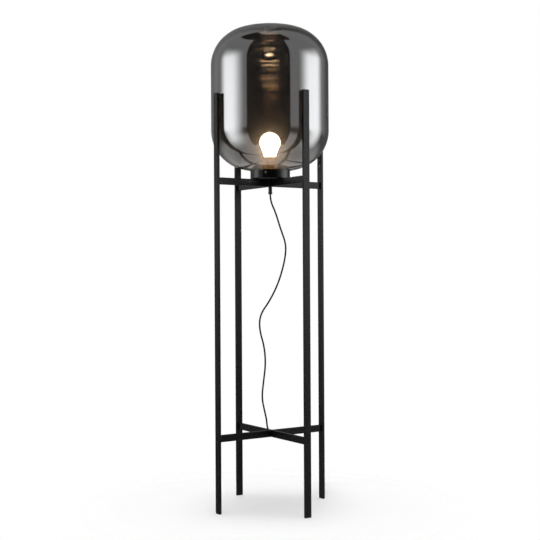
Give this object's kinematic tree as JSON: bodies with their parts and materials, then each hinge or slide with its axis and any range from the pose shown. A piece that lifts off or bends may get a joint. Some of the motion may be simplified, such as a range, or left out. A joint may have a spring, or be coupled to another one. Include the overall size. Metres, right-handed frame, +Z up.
{
  "type": "globe floor lamp",
  "caption": "Floor lamp with straight flat-bar legs around a large smoked glass globe that stands in a cup on a cross, with an upright bulb and a hanging cord.",
  "frame": {"origin": "centre of the lamp on the floor", "axes": "+Z up; the legs stand on the X and Y axes"},
  "size_m": [0.5089, 0.3785, 1.4],
  "materials": {
    "powder_coat": "satin black powder coat",
    "glide_plastic": "matte",
    "black_steel": "black oxide",
    "nickel": "polished nickel",
    "zinc_steel": "zinc plated",
    "black_rubber": "matte",
    "smoked_glass": "smoked, half mirrored",
    "black_plastic": "satin",
    "cord_sheath": "matte",
    "hook_and_loop": "woven",
    "porcelain": "glazed",
    "brass": "plain",
    "opal_glass": "opal",
    "clear_glass": "clear",
    "phosphor": "matte",
    "nickel_brass": "plain",
    "solder": "dull",
    "black_glass": "glossy"
  },
  "bodies": {
    "frame": {"centre_contact": "brass", "cord": "cord_sheath", "cord_clips": "black_plastic", "cord_grip": "black_plastic", "cord_hank": "cord_sheath", "cord_tie": "hook_and_loop", "cross_hub": "powder_coat", "cup_nut": "zinc_steel", "cup_washer": "zinc_steel", "glide_front_left": "glide_plastic", "glide_front_right": "glide_plastic", "glide_rear_left": "glide_plastic", "glide_rear_right": "glide_plastic", "globe_cup": "powder_coat", "globe_gasket": "black_rubber", "globe_screw_nuts": "zinc_steel", "holder_cap": "black_plastic", "holder_core": "porcelain", "holder_shell": "black_plastic", "inner_flex": "cord_sheath", "leg_front_left": "powder_coat", "leg_front_right": "powder_coat", "leg_rear_left": "powder_coat", "leg_rear_right": "powder_coat", "leg_screws": "black_steel", "lower_bar_over": "powder_coat", "lower_bar_under": "powder_coat", "plug_body": "black_plastic", "plug_pins": "brass", "terminal_screws": "zinc_steel", "thread_sleeve": "brass", "threaded_tube": "zinc_steel", "upper_arm_front_left": "powder_coat", "upper_arm_front_right": "powder_coat", "upper_arm_rear_left": "powder_coat", "upper_arm_rear_right": "powder_coat"},
    "globe": {"glass_globe": "smoked_glass"},
    "bulb_tip": {"bulb_contact": "solder"},
    "bulb": {"bulb_cap": "nickel_brass", "bulb_insulator": "black_glass", "bulb_envelope": "opal_glass", "bulb_stem": "clear_glass", "bulb_filaments": "phosphor"},
    "globe_screw_a": {"globe_screw_1": "nickel"},
    "globe_screw_b": {"globe_screw_2": "nickel"},
    "globe_screw_c": {"globe_screw_3": "nickel"}
  },
  "joints": [
    {"name": "globe_lift", "type": "slide", "parent": "frame", "child": "globe", "axis": [0, 0, 1], "range_m": [0, 0.24]},
    {"name": "bulb_travel", "type": "slide", "parent": "frame", "child": "bulb_tip", "axis": [0, 0, 1], "range_m": [0, 0.0181]},
    {"name": "bulb_turn", "type": "hinge", "parent": "bulb_tip", "child": "bulb", "pos_m": [0, 0, 0.9878], "axis": [0, 0, 1], "range_deg": [0, 1800]},
    {"name": "globe_screw_a_out", "type": "slide", "parent": "frame", "child": "globe_screw_a", "axis": [-0.7071, -0.7071, 0], "range_m": [0, 0.0021]},
    {"name": "globe_screw_b_out", "type": "slide", "parent": "frame", "child": "globe_screw_b", "axis": [0.9659, -0.2588, 0], "range_m": [0, 0.0021]},
    {"name": "globe_screw_c_out", "type": "slide", "parent": "frame", "child": "globe_screw_c", "axis": [-0.2588, 0.9659, 0], "range_m": [0, 0.0021]}
  ],
  "couplings": [
    {"joint": "bulb_travel", "follows": "bulb_turn", "m_per_rad": 0.00057614}
  ]
}
